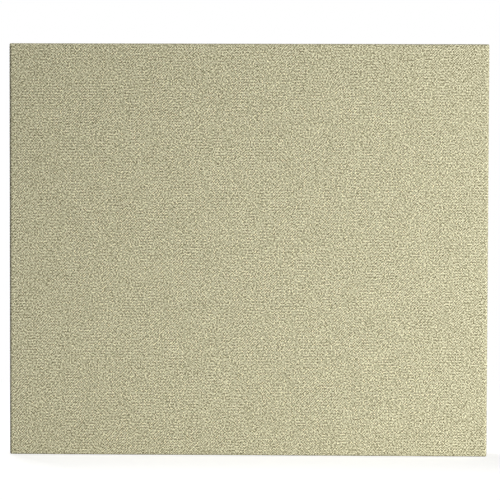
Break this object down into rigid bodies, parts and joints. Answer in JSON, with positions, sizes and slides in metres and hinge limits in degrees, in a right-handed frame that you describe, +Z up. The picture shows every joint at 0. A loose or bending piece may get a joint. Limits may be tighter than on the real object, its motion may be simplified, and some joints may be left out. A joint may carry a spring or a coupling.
{
  "type": "acoustic foam panel",
  "caption": "Square-edged acoustic wall panel: a semi-rigid foam slab wrapped in ribbed woven cloth that is folded onto its back.",
  "frame": {"origin": "middle of the underside, on the plane that the panel stands on", "axes": "+X along the width, +Y from the cloth front to the back that meets the wall, +Z up the height"},
  "size_m": [0.6, 0.05, 0.517],
  "materials": {
    "woven_cloth": "matt heathered weave, pale grey-green beige",
    "open_cell_foam": "matt open-cell foam, light grey"
  },
  "bodies": {
    "root": {"foam_core": "open_cell_foam", "fabric_cover": "woven_cloth"}
  },
  "joints": []
}
